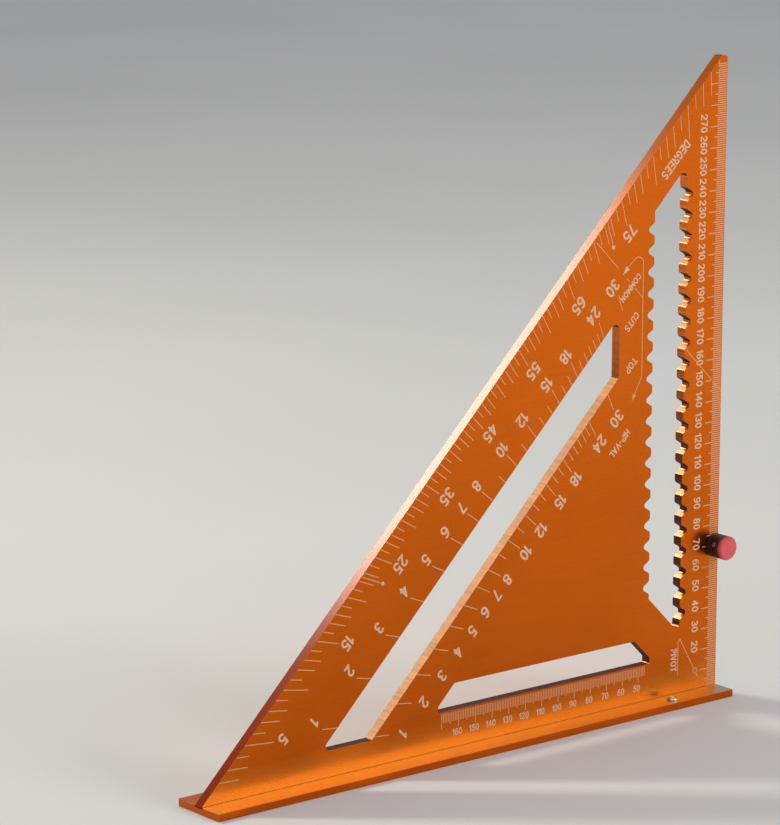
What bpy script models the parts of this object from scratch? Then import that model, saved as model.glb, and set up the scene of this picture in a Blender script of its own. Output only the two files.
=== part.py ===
"""A 300 mm (12 inch class) rafter square with a clamp-on edge stop.

A flat triangular blade stands in a shallow groove along a wide flat fence, located by two
dowels and held by countersunk screws from beneath.  A round edge stop straddles the blade's
upright edge.  Its thumb screw pushes a small swivel pad against the blade's front face.

Frame: metres, +Z up.  X runs along the fence, with the right angle at +X.  The front face
looks along -Y.  The origin is the middle of the fence's underside.
"""
import math

import bmesh
import bpy
from mathutils import Matrix, Vector

MM = 0.001
GAP = 0.3 * MM                          # air between two pieces that touch

# The whole square
SIDE = 304.8 * MM                       # length of the fence and height of the blade's tip
RIGHT_EDGE_X = SIDE / 2.0               # the upright edge, where every scale starts
SCALE_ZERO_Z = 2.2 * MM                 # height of the scales' zero above the underside

# Fence
FENCE_WIDTH = 29.2 * MM
FENCE_THICKNESS = 3.4 * MM
GROOVE_DEPTH = 0.8 * MM

# Blade
BLADE_THICKNESS = 5.0 * MM
HYPOTENUSE_REACH = 306.3 * MM           # where the sloping edge's line meets either zero line
TIP_RADIUS = 1.3 * MM
ARC_STEP = math.radians(24.0)           # one chord of a rounded corner

# Slots, as distances in from the upright edge and heights above the scale zero
TALL_SLOT_NEAR = 24.0 * MM
TALL_SLOT_FAR = 44.0 * MM
TALL_SLOT_LOW = 50.4 * MM               # ends of the far wall, where the 45 degree ends begin
TALL_SLOT_HIGH = 234.2 * MM
LONG_SLOT_OUTER = 253.0 * MM            # reach of the sloping walls' lines
LONG_SLOT_INNER = 224.0 * MM
LONG_SLOT_BOTTOM = 13.5 * MM
LONG_SLOT_NEAR = 65.0 * MM
LOW_SLOT_NEAR = 43.0 * MM
LOW_SLOT_FAR = 172.0 * MM
LOW_SLOT_BOTTOM = 18.8 * MM
LOW_SLOT_TOP = 31.3 * MM
LOW_SLOT_SHOULDER = 3.0 * MM            # short upright walls before the 45 degree ends
RELIEF_RADIUS = 2.7 * MM
FOOT_RADIUS = 2.0 * MM
SLOT_CORNER = 1.0 * MM

# Scribing notches in the tall slot's walls
NOTCH_PITCH = 10.0 * MM
NOTCH_DEPTH = 5.0 * MM                  # to the sharp point; the rounded root is 3.65 mm deep
NOTCH_HALF_WIDTH = 3.1 * MM
NOTCH_ROOT_RADIUS = 1.5 * MM
NOTCH_LIP_RADIUS = 1.2 * MM
NEAR_NOTCHES = (40.0 * MM, 21)          # first height and count
FAR_NOTCHES = (56.0 * MM, 18)

# Fixings between the blade and the fence
SCREW_XS = [side * step * MM for step in (20.0, 60.0, 100.0, 140.0) for side in (-1.0, 1.0)]
SCREW_LENGTH = 8.0 * MM
SCREW_RADIUS = 1.5 * MM
SCREW_HEAD_RADIUS = 2.7 * MM
SCREW_HEAD_HEIGHT = 1.4 * MM
SCREW_SOCKET_RADIUS = 1.15 * MM
SCREW_SOCKET_DEPTH = 1.0 * MM
SCREW_SINK = 0.1 * MM                   # how far the heads lie above the fence's underside
DOWEL_XS = (-120.0 * MM, 128.0 * MM)
DOWEL_RADIUS = 1.25 * MM
DOWEL_LENGTH = 7.0 * MM
DOWEL_CHAMFER = 0.25 * MM

# Small domed rivet on the fence's front flange
RIVET_X = RIGHT_EDGE_X - 34.0 * MM
RIVET_Y = -9.2 * MM
RIVET_HEAD_RADIUS = 2.6 * MM
RIVET_HEAD_HEIGHT = 1.3 * MM
RIVET_RADIUS = 1.3 * MM

# Edge stop: a barrel along Y, at the 70 mm mark
STOP_X = RIGHT_EDGE_X - 2.4 * MM
STOP_Z = SCALE_ZERO_Z + 70.0 * MM
STOP_RADIUS = 5.7 * MM
STOP_FRONT_Y = -9.9 * MM
STOP_BACK_Y = 8.3 * MM
JAW_Y = BLADE_THICKNESS / 2.0 + GAP     # inner faces of both jaws
STOP_RIM = 0.5 * MM                     # chamfer round both ends
PAD_RADIUS = 3.0 * MM
PAD_THICKNESS = 1.3 * MM
PAD_CHAMFER = 0.2 * MM
PAD_POCKET_DEPTH = 3.2 * MM
STUD_RADIUS = 2.0 * MM
STUD_NOSE_RADIUS = 1.2 * MM
STUD_NOSE_LENGTH = 0.6 * MM
BORE_CLEARANCE = 0.2 * MM
CAP_THICKNESS = 2.3 * MM
CAP_RIM = 0.6 * MM
CAP_SOCKET_DEPTH = 1.0 * MM
GRUB_RADIUS = 1.25 * MM
GRUB_LENGTH = 2.7 * MM
GRUB_CHAMFER = 0.2 * MM
GRUB_SOCKET_RADIUS = 0.65 * MM
GRUB_SOCKET_DEPTH = 1.1 * MM
GRUB_SINK = 0.35 * MM                   # how far its outer end lies below the barrel
GRUB_Y = -7.2 * MM
GRUB_ANGLE = math.radians(160.0)        # its direction about the barrel, from +X towards +Z

# How finely round pieces are made
BARREL_SIDES = 48
PAD_SIDES = 32
PIN_SIDES = 20
HEXAGON = 6
DOME_STEPS = 5
SHARP_ANGLE = math.radians(35.0)


def clear_scene():
    for item in list(bpy.data.objects):
        bpy.data.objects.remove(item, do_unlink=True)


def material(name, colour, roughness, metallic):
    made = bpy.data.materials.new(name)
    made.use_nodes = True
    shader = made.node_tree.nodes["Principled BSDF"]
    shader.inputs["Base Color"].default_value = (*colour, 1.0)
    shader.inputs["Roughness"].default_value = roughness
    shader.inputs["Metallic"].default_value = metallic
    return made


def add_object(name, bm, finish=None, smooth=False):
    """Turn a bmesh into an object with outward faces."""
    bmesh.ops.recalc_face_normals(bm, faces=bm.faces[:])
    mesh = bpy.data.meshes.new(name)
    bm.to_mesh(mesh)
    bm.free()
    if finish is not None:
        mesh.materials.append(finish)
    if smooth:
        mesh.shade_smooth()
        mesh.set_sharp_from_angle(angle=SHARP_ANGLE)
    item = bpy.data.objects.new(name, mesh)
    bpy.context.scene.collection.objects.link(item)
    return item


def cut(target, cutter):
    """Subtract one object from another with a Boolean modifier."""
    cutter.hide_render = True
    cutter.display_type = "WIRE"
    modifier = target.modifiers.new("Cut " + cutter.name, "BOOLEAN")
    modifier.operation = "DIFFERENCE"
    modifier.solver = "EXACT"
    modifier.object = cutter


def rounded(corners):
    """Replace each (x, z, radius) corner of a closed outline by an arc."""
    points = []
    for index, (x, z, radius) in enumerate(corners):
        here = Vector((x, z))
        before = (Vector(corners[index - 1][:2]) - here).normalized()
        after = (Vector(corners[(index + 1) % len(corners)][:2]) - here).normalized()
        if radius == 0.0:
            points.append(here)
            continue
        half = before.angle(after) / 2.0
        centre = here + (before + after).normalized() * (radius / math.sin(half))
        start = here + before * (radius / math.tan(half)) - centre
        end = here + after * (radius / math.tan(half)) - centre
        first = math.atan2(start.y, start.x)
        turn = math.remainder(math.atan2(end.y, end.x) - first, math.tau)
        steps = max(1, round(abs(turn) / ARC_STEP))
        for step in range(steps + 1):
            angle = first + turn * step / steps
            points.append(centre + radius * Vector((math.cos(angle), math.sin(angle))))
    return points


def on_blade(inset, height, radius=0.0):
    """A corner given as a distance from the upright edge and a height on the scale."""
    return (RIGHT_EDGE_X - inset, SCALE_ZERO_Z + height, radius)


def plate(bm, points, half_thickness):
    """Extrude a closed outline in X and Z to both sides of the middle plane."""
    ring = [bm.verts.new((x, -half_thickness, z)) for x, z in points]
    face = bm.faces.new(ring)
    grown = bmesh.ops.extrude_face_region(bm, geom=[face])
    moved = [v for v in grown["geom"] if isinstance(v, bmesh.types.BMVert)]
    bmesh.ops.translate(bm, verts=moved, vec=(0.0, 2.0 * half_thickness, 0.0))


def turned(bm, profile, segments, place):
    """Spin a (radius, height) profile about Z into a closed body and add it at its place."""
    body = bmesh.new()
    line = [body.verts.new((radius, 0.0, height)) for radius, height in profile]
    edges = [body.edges.new(pair) for pair in zip(line, line[1:])]
    bmesh.ops.spin(body, geom=line + edges, cent=(0, 0, 0), axis=(0, 0, 1), angle=math.tau,
                   steps=segments, use_merge=True)
    bmesh.ops.remove_doubles(body, verts=body.verts[:], dist=1e-7)
    bmesh.ops.transform(body, matrix=place, verts=body.verts[:])
    spare = bpy.data.meshes.new("spare")
    body.to_mesh(spare)
    body.free()
    bm.from_mesh(spare)
    bpy.data.meshes.remove(spare)


def hole_profile(radius, low, high):
    return [(0.0, low), (radius, low), (radius, high), (0.0, high)]


def pin_profile(radius, low, high, chamfer):
    return [(0.0, low), (radius - chamfer, low), (radius, low + chamfer),
            (radius, high - chamfer), (radius - chamfer, high), (0.0, high)]


def notched_wall(inset, first, count, into, upward):
    """Corners of a wall with round-bottomed V notches, listed upward or downward."""
    corners = []
    heights = [first + NOTCH_PITCH * index for index in range(count)]
    lead = NOTCH_HALF_WIDTH
    if not upward:
        heights.reverse()
        lead = -NOTCH_HALF_WIDTH
    for height in heights:
        corners.append(on_blade(inset, height - lead, NOTCH_LIP_RADIUS))
        corners.append(on_blade(inset + into, height, NOTCH_ROOT_RADIUS))
        corners.append(on_blade(inset, height + lead, NOTCH_LIP_RADIUS))
    return corners


def tall_slot():
    width = TALL_SLOT_FAR - TALL_SLOT_NEAR
    return rounded(
        [on_blade(TALL_SLOT_NEAR, TALL_SLOT_LOW - width, FOOT_RADIUS)]
        + notched_wall(TALL_SLOT_NEAR, *NEAR_NOTCHES, -NOTCH_DEPTH, True)
        + [on_blade(TALL_SLOT_NEAR, TALL_SLOT_HIGH + width, RELIEF_RADIUS),
           on_blade(TALL_SLOT_FAR, TALL_SLOT_HIGH, SLOT_CORNER)]
        + notched_wall(TALL_SLOT_FAR, *FAR_NOTCHES, NOTCH_DEPTH, False)
        + [on_blade(TALL_SLOT_FAR, TALL_SLOT_LOW, SLOT_CORNER)])


def long_slot():
    return rounded([
        on_blade(LONG_SLOT_OUTER - LONG_SLOT_BOTTOM, LONG_SLOT_BOTTOM, FOOT_RADIUS),
        on_blade(LONG_SLOT_INNER - LONG_SLOT_BOTTOM, LONG_SLOT_BOTTOM, SLOT_CORNER),
        on_blade(LONG_SLOT_NEAR, LONG_SLOT_INNER - LONG_SLOT_NEAR, SLOT_CORNER),
        on_blade(LONG_SLOT_NEAR, LONG_SLOT_OUTER - LONG_SLOT_NEAR, RELIEF_RADIUS)])


def low_slot():
    shoulder = LOW_SLOT_BOTTOM + LOW_SLOT_SHOULDER
    slope = LOW_SLOT_TOP - shoulder
    return rounded([
        on_blade(LOW_SLOT_FAR, LOW_SLOT_BOTTOM, SLOT_CORNER),
        on_blade(LOW_SLOT_NEAR, LOW_SLOT_BOTTOM, SLOT_CORNER),
        on_blade(LOW_SLOT_NEAR, shoulder, SLOT_CORNER),
        on_blade(LOW_SLOT_NEAR + slope, LOW_SLOT_TOP, SLOT_CORNER),
        on_blade(LOW_SLOT_FAR - slope, LOW_SLOT_TOP, SLOT_CORNER),
        on_blade(LOW_SLOT_FAR, shoulder, SLOT_CORNER)])


def fixing_holes(name, screw_profile, dowel_profile):
    """One cutter with a hole at every screw and dowel."""
    bm = bmesh.new()
    for x in SCREW_XS:
        turned(bm, screw_profile, PIN_SIDES, Matrix.Translation((x, 0.0, 0.0)))
    for x in DOWEL_XS:
        turned(bm, dowel_profile, PIN_SIDES, Matrix.Translation((x, 0.0, 0.0)))
    return add_object(name, bm)


def build_blade(finish):
    foot = FENCE_THICKNESS - GROOVE_DEPTH + GAP - SCALE_ZERO_Z
    tip = SIDE - SCALE_ZERO_Z
    outline = rounded([
        on_blade(0.0, foot),
        on_blade(0.0, tip, TIP_RADIUS),
        on_blade(HYPOTENUSE_REACH - tip, tip, TIP_RADIUS),
        on_blade(SIDE, HYPOTENUSE_REACH - SIDE),
        on_blade(SIDE, foot)])
    bm = bmesh.new()
    plate(bm, outline, BLADE_THICKNESS / 2.0)
    blade = add_object("blade", bm, finish)
    bm = bmesh.new()
    for slot in (tall_slot(), long_slot(), low_slot()):
        plate(bm, slot, BLADE_THICKNESS)
    cut(blade, add_object("slot_cutter", bm))
    tapped = hole_profile(SCREW_RADIUS + GAP, 0.0, SCREW_LENGTH + GAP)
    reamed = hole_profile(DOWEL_RADIUS + GAP, 0.0, DOWEL_LENGTH + 2.0 * GAP)
    cut(blade, fixing_holes("tapped_hole_cutter", tapped, reamed))


def build_fence(finish):
    half = FENCE_WIDTH / 2.0
    groove = BLADE_THICKNESS / 2.0 + GAP
    floor = FENCE_THICKNESS - GROOVE_DEPTH
    section = [(-half, 0.0), (half, 0.0), (half, FENCE_THICKNESS), (groove, FENCE_THICKNESS),
               (groove, floor), (-groove, floor), (-groove, FENCE_THICKNESS),
               (-half, FENCE_THICKNESS)]
    bm = bmesh.new()
    face = bm.faces.new([bm.verts.new((-SIDE / 2.0, y, z)) for y, z in section])
    grown = bmesh.ops.extrude_face_region(bm, geom=[face])
    moved = [v for v in grown["geom"] if isinstance(v, bmesh.types.BMVert)]
    bmesh.ops.translate(bm, verts=moved, vec=(SIDE, 0.0, 0.0))
    fence = add_object("fence", bm, finish)
    below = -MM
    bore = SCREW_RADIUS + GAP
    wide = SCREW_HEAD_RADIUS + GAP
    head = [(0.0, below), (wide, below), (wide, 0.0), (bore, SCREW_HEAD_HEIGHT + GAP),
            (bore, FENCE_THICKNESS), (0.0, FENCE_THICKNESS)]
    through = hole_profile(DOWEL_RADIUS + GAP, below, FENCE_THICKNESS)
    cut(fence, fixing_holes("fence_hole_cutter", head, through))
    bm = bmesh.new()
    hole = hole_profile(RIVET_RADIUS + GAP, below, FENCE_THICKNESS - below)
    turned(bm, hole, PIN_SIDES, Matrix.Translation((RIVET_X, RIVET_Y, 0.0)))
    cut(fence, add_object("rivet_hole_cutter", bm))


def build_fence_screws(finish):
    """Countersunk socket screws, each from the underside into the blade's lower edge."""
    bm = bmesh.new()
    profile = [(0.0, SCREW_SINK), (SCREW_HEAD_RADIUS, SCREW_SINK),
               (SCREW_RADIUS, SCREW_HEAD_HEIGHT), (SCREW_RADIUS, SCREW_LENGTH - SCREW_SINK),
               (0.0, SCREW_LENGTH)]
    turned(bm, profile, PIN_SIDES, Matrix.Identity(4))
    pattern = add_object("fence_screw_1", bm, finish, smooth=True)
    bm = bmesh.new()
    socket = hole_profile(SCREW_SOCKET_RADIUS, -SCREW_SINK, SCREW_SOCKET_DEPTH)
    turned(bm, socket, HEXAGON, Matrix.Identity(4))
    cutter = add_object("screw_socket_cutter", bm)
    cutter.location = (SCREW_XS[0], 0.0, 0.0)
    cut(pattern, cutter)
    pattern.location = (SCREW_XS[0], 0.0, 0.0)
    for index, x in enumerate(SCREW_XS[1:], start=2):
        copy = bpy.data.objects.new("fence_screw_%d" % index, pattern.data)
        bpy.context.scene.collection.objects.link(copy)
        copy.location = (x, 0.0, 0.0)
        twin = bpy.data.objects.new("screw_socket_cutter_%d" % index, cutter.data)
        bpy.context.scene.collection.objects.link(twin)
        twin.location = (x, 0.0, 0.0)
        cut(copy, twin)


def build_dowels(finish):
    for index, x in enumerate(DOWEL_XS, start=1):
        bm = bmesh.new()
        body = pin_profile(DOWEL_RADIUS, GAP, GAP + DOWEL_LENGTH, DOWEL_CHAMFER)
        turned(bm, body, PIN_SIDES, Matrix.Translation((x, 0.0, 0.0)))
        add_object("fence_dowel_%d" % index, bm, finish, smooth=True)


def build_rivet(finish):
    """A domed head above the flange, a shank through it and a flush foot below."""
    base = FENCE_THICKNESS + GAP
    dome = []
    for step in range(DOME_STEPS):
        angle = math.radians(90.0) * step / DOME_STEPS
        dome.append((RIVET_HEAD_RADIUS * math.cos(angle),
                     base + RIVET_HEAD_HEIGHT * math.sin(angle)))
    dome.append((0.0, base + RIVET_HEAD_HEIGHT))
    profile = [(0.0, GAP), (RIVET_RADIUS, GAP), (RIVET_RADIUS, base)] + dome
    bm = bmesh.new()
    turned(bm, profile, PIN_SIDES, Matrix.Translation((RIVET_X, RIVET_Y, 0.0)))
    add_object("flange_rivet", bm, finish, smooth=True)


def along_barrel(offset_y=0.0):
    """Local +Z becomes world -Y, on the barrel's axis, with local zero at Y = offset_y."""
    quarter = Matrix.Rotation(math.radians(90.0), 4, "X")
    return Matrix.Translation((STOP_X, offset_y, STOP_Z)) @ quarter


def grub_place():
    """Local +Z points out of the barrel along the grub screw."""
    lean = Matrix.Rotation(math.radians(90.0) - GRUB_ANGLE, 4, "Y")
    return Matrix.Translation((STOP_X, GRUB_Y, STOP_Z)) @ lean


def move_origin(item, point):
    """Put an object's origin on its joint without moving its mesh."""
    item.data.transform(Matrix.Translation(-Vector(point)))
    item.location = point


def build_stop_body(finish):
    front = -STOP_FRONT_Y
    back = -STOP_BACK_Y
    profile = pin_profile(STOP_RADIUS, back, front, STOP_RIM)
    bm = bmesh.new()
    turned(bm, profile, BARREL_SIDES, along_barrel())
    body = add_object("stop_body", bm, finish, smooth=True)

    # The slot that straddles the blade, open towards -X
    web_x = RIGHT_EDGE_X + GAP
    bm = bmesh.new()
    low_x = STOP_X - 2.0 * STOP_RADIUS
    reach = 2.0 * STOP_RADIUS
    corners = [(low_x, STOP_Z - reach), (web_x, STOP_Z - reach),
               (web_x, STOP_Z + reach), (low_x, STOP_Z + reach)]
    plate(bm, corners, JAW_Y)
    cut(body, add_object("stop_slot_cutter", bm))

    # Stud bore from the front, widened into the pad's pocket behind the front jaw
    bore = STUD_RADIUS + BORE_CLEARANCE
    pocket = PAD_RADIUS + GAP
    bm = bmesh.new()
    turned(bm, [(0.0, 0.0), (pocket, 0.0), (pocket, JAW_Y + PAD_POCKET_DEPTH),
                (bore, JAW_Y + PAD_POCKET_DEPTH), (bore, front + MM), (0.0, front + MM)],
           PAD_SIDES, along_barrel())
    cut(body, add_object("stop_bore_cutter", bm))

    bm = bmesh.new()
    turned(bm, hole_profile(GRUB_RADIUS + GAP, MM, STOP_RADIUS + MM), PIN_SIDES, grub_place())
    cut(body, add_object("grub_hole_cutter", bm))


def build_grub_screw(finish):
    outer = STOP_RADIUS - GRUB_SINK
    bm = bmesh.new()
    turned(bm, pin_profile(GRUB_RADIUS, outer - GRUB_LENGTH, outer, GRUB_CHAMFER),
           PIN_SIDES, grub_place())
    grub = add_object("stop_grub_screw", bm, finish, smooth=True)
    bm = bmesh.new()
    socket = hole_profile(GRUB_SOCKET_RADIUS, outer - GRUB_SOCKET_DEPTH, outer + MM)
    turned(bm, socket, HEXAGON, grub_place())
    cut(grub, add_object("grub_socket_cutter", bm))


def build_clamp_pad(finish, joint):
    """A disc with a recess in its back for the stud's nose."""
    face = JAW_Y
    back = JAW_Y + PAD_THICKNESS
    recess = STUD_NOSE_RADIUS + GAP
    bm = bmesh.new()
    turned(bm, [(0.0, face), (PAD_RADIUS - PAD_CHAMFER, face), (PAD_RADIUS, face + PAD_CHAMFER),
                (PAD_RADIUS, back), (recess, back), (recess, back - STUD_NOSE_LENGTH),
                (0.0, back - STUD_NOSE_LENGTH)], PAD_SIDES, along_barrel())
    move_origin(add_object("clamp_pad", bm, finish, smooth=True), joint)


def build_clamp_stud(finish, joint):
    shoulder = JAW_Y + PAD_THICKNESS + GAP
    end = -STOP_FRONT_Y + CAP_SOCKET_DEPTH
    bm = bmesh.new()
    turned(bm, [(0.0, shoulder - STUD_NOSE_LENGTH), (STUD_NOSE_RADIUS, shoulder - STUD_NOSE_LENGTH),
                (STUD_NOSE_RADIUS, shoulder), (STUD_RADIUS, shoulder),
                (STUD_RADIUS, end), (0.0, end)], PIN_SIDES, along_barrel())
    move_origin(add_object("clamp_stud", bm, finish, smooth=True), joint)


def build_thumb_cap(finish, joint):
    low = -STOP_FRONT_Y + GAP
    high = low + CAP_THICKNESS
    socket = STUD_RADIUS + GAP
    bm = bmesh.new()
    turned(bm, [(0.0, low + CAP_SOCKET_DEPTH), (socket, low + CAP_SOCKET_DEPTH), (socket, low),
                (STOP_RADIUS, low), (STOP_RADIUS, high - CAP_RIM),
                (STOP_RADIUS - CAP_RIM, high), (0.0, high)], BARREL_SIDES, along_barrel())
    move_origin(add_object("thumb_cap", bm, finish, smooth=True), joint)


def build():
    clear_scene()
    orange = material("orange_anodised", (0.52, 0.105, 0.012), 0.38, 0.9)
    steel = material("bright_steel", (0.72, 0.70, 0.67), 0.28, 1.0)
    black = material("black_anodised", (0.012, 0.011, 0.012), 0.35, 0.6)
    red = material("red_anodised", (0.56, 0.04, 0.045), 0.32, 0.7)
    nylon = material("black_nylon", (0.03, 0.03, 0.032), 0.55, 0.0)
    stop_axis = (STOP_X, 0.0, STOP_Z)
    build_blade(orange)
    build_fence(orange)
    build_fence_screws(steel)
    build_dowels(steel)
    build_rivet(steel)
    build_stop_body(black)
    build_grub_screw(steel)
    build_clamp_pad(nylon, stop_axis)
    build_clamp_stud(steel, stop_axis)
    build_thumb_cap(red, stop_axis)


build()
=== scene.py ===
"""Looks of the rafter square: etched scales, eased edges, turned and threaded stop parts."""
import math

import bmesh
import bpy
from mathutils import Matrix, Vector


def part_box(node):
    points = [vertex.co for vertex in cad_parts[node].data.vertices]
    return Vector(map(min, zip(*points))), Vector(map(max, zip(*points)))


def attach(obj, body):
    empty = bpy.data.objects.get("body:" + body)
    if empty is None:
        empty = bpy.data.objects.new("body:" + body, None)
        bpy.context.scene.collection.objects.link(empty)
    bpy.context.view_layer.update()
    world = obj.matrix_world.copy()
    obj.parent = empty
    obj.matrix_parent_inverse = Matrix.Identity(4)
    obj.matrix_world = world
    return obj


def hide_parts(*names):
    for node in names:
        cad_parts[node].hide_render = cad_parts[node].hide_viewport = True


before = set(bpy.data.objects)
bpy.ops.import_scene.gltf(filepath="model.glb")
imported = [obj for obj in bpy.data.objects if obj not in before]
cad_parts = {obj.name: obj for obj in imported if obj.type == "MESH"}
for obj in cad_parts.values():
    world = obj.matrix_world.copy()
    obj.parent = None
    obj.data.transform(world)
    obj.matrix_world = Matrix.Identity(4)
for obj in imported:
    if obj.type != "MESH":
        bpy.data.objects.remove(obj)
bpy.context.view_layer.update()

MM = 0.001

# Places read from the frame
BLADE_LOW, BLADE_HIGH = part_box("blade")
FENCE_LOW, FENCE_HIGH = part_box("fence")
CAP_LOW, CAP_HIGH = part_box("thumb_cap")
STUD_LOW, STUD_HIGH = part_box("clamp_stud")
RIVET_LOW, RIVET_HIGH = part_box("flange_rivet")
RIGHT_EDGE = BLADE_HIGH[0]
FRONT = BLADE_LOW[1]
BACK = BLADE_HIGH[1]
STOP_AXIS = (CAP_LOW + CAP_HIGH) / 2.0

# The scales, on the blade's own measure: in from the upright edge, and up from the zero line
SCALE_ZERO = 2.2 * MM                   # height of the zero line above the fence's underside
REACH = 306.3 * MM                      # where the sloping edge's line meets either zero line
OUTER_REACH = 253.0 * MM                # the same for the sloping slot's upper wall
INNER_REACH = 224.0 * MM                # and its lower wall
FIGURE_LINE = 12.8 * MM                 # from a slot wall to the middle of its rafter figures

NOTCHED_INSET = 58.0 * MM               # the notched slot lies within this of the upright edge

# Etched marks
MARK_PROUD = 0.03 * MM
STROKE_STEP = 0.002 * MM                # each stroke stands this much prouder than the last
STROKE_LEVELS = 8                       # and after this many the height starts again
TICK_GAP = 0.5 * MM                     # bare metal between a wall and the foot of its ticks
TICK_WIDTH = 0.50 * MM
EDGE_TICK_WIDTH = 0.60 * MM             # the upright scale's ticks are the boldest
LEADER_WIDTH = 0.52 * MM

# Lengths of ticks in mm: at centimetres, at half centimetres, at the other millimetres
UPRIGHT_TICKS = (9.8, 7.0, 5.5)
FENCE_TICKS = (6.8, 4.9, 4.0)
FENCE_TICK_TOP = 17.8 * MM              # the fence scale hangs from this height
DEGREE_TICKS = (9.3, 8.2, 5.3)          # at fives, at the two middle degrees, at the rest
NAMED_TICK = 8.4 * MM                   # a rafter tick with a figure
PLAIN_TICK = 5.2 * MM                   # and one without
NAMED_RISES = (1, 2, 3, 4, 5, 6, 7, 8, 10, 12, 15, 18, 24, 30)
PEN = 0.21                              # stroke width of a figure, as a share of its height
LETTER_GAP = 0.30                       # air between letters, as a share of their height
SLOPE_FIGURE = 6.1 * MM                 # height of the degree and rafter figures
DOT_DEPTH = 13.2 * MM                   # from the sloping edge to a dot, along its ray
DOT_RADIUS = 0.95 * MM
REFERENCE_FOOT = 144.0 * MM             # where the long 45 degree line meets the upright edge
REFERENCE_SPANS = ((0.45, 23.0), (51.2, 55.6), (59.6, 60.8), (66.5, 79.5))  # its insets in mm
DOWN = -90.0                            # reads downward, as the upright scale's figures do

# How far the corners are eased
PLATE_EASE = 0.25 * MM
BARREL_EASE = 0.12 * MM
SCREW_EASE = 0.06 * MM
SMALL_EASE = 0.05 * MM

# Angles between faces, in degrees
SAME_PLANE = 0.5                        # faces that meet flatter than this are merged
CORNER = 30.0                           # faces that meet sharper than this make a corner
SMOOTH_JOIN = 35.0                      # faces that meet flatter than this are shaded as one
TURNED_JOIN = 28.0                      # the same on turned pieces


# ---------------------------------------------------------------- materials

class Nodes:
    """Short calls for building one material's node tree."""

    def __init__(self, name, metallic, roughness, coat=0.0, coat_roughness=0.2):
        self.material = bpy.data.materials.new(name)
        self.material.use_nodes = True
        self.tree = self.material.node_tree
        self.shader = self.tree.nodes["Principled BSDF"]
        self.shader.inputs["Metallic"].default_value = metallic
        self.shader.inputs["Roughness"].default_value = roughness
        self.shader.inputs["Coat Weight"].default_value = coat
        self.shader.inputs["Coat Roughness"].default_value = coat_roughness
        self.shader.inputs["Coat IOR"].default_value = 1.6
        self.place = self.add("ShaderNodeTexCoord").outputs["Object"]

    def add(self, kind, **settings):
        node = self.tree.nodes.new(kind)
        for key, value in settings.items():
            setattr(node, key, value)
        return node

    def link(self, source, target):
        self.tree.links.new(source, target)

    def noise(self, stretch, scale, detail=4.0):
        """Noise in object space, squeezed by stretch along X, Y and Z."""
        mapping = self.add("ShaderNodeMapping")
        mapping.inputs["Scale"].default_value = stretch
        self.link(self.place, mapping.inputs["Vector"])
        noise = self.add("ShaderNodeTexNoise")
        noise.inputs["Scale"].default_value = scale
        noise.inputs["Detail"].default_value = detail
        self.link(mapping.outputs["Vector"], noise.inputs["Vector"])
        return noise.outputs["Fac"]

    def spread(self, value, to_low, to_high, low=0.3, high=0.7):
        node = self.add("ShaderNodeMapRange")
        node.inputs["From Min"].default_value = low
        node.inputs["From Max"].default_value = high
        node.inputs["To Min"].default_value = to_low
        node.inputs["To Max"].default_value = to_high
        self.link(value, node.inputs["Value"])
        return node.outputs["Result"]

    def maths(self, operation, first, second=0.0):
        node = self.add("ShaderNodeMath", operation=operation)
        for socket, value in zip(node.inputs, (first, second)):
            if isinstance(value, float):
                socket.default_value = value
            else:
                self.link(value, socket)
        return node.outputs["Value"]

    def colours(self, factor, first, second):
        node = self.add("ShaderNodeMix", data_type="RGBA")
        self.link(factor, node.inputs["Factor"])
        for socket, value in ((node.inputs["A"], first), (node.inputs["B"], second)):
            if isinstance(value, tuple):
                socket.default_value = (*value, 1.0)
            else:
                self.link(value, socket)
        return node.outputs["Result"]

    def base(self, colour):
        self.link(colour, self.shader.inputs["Base Color"])

    def rough(self, value):
        self.link(value, self.shader.inputs["Roughness"])

    def bump(self, height, strength, distance):
        node = self.add("ShaderNodeBump")
        node.inputs["Strength"].default_value = strength
        node.inputs["Distance"].default_value = distance
        self.link(height, node.inputs["Height"])
        self.link(node.outputs["Normal"], self.shader.inputs["Normal"])

    def rings_about(self, centre, pitch):
        """Fine turning rings round an axis that runs along Y."""
        split = self.add("ShaderNodeSeparateXYZ")
        self.link(self.place, split.inputs["Vector"])
        across = self.maths("SUBTRACT", split.outputs["X"], centre.x)
        up = self.maths("SUBTRACT", split.outputs["Z"], centre.z)
        square = self.maths("ADD", self.maths("MULTIPLY", across, across),
                            self.maths("MULTIPLY", up, up))
        turns = self.maths("MULTIPLY", self.maths("SQRT", square), math.tau / pitch)
        return self.maths("SINE", turns)


def tinted(colour, share):
    return tuple(channel * share for channel in colour)


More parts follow.
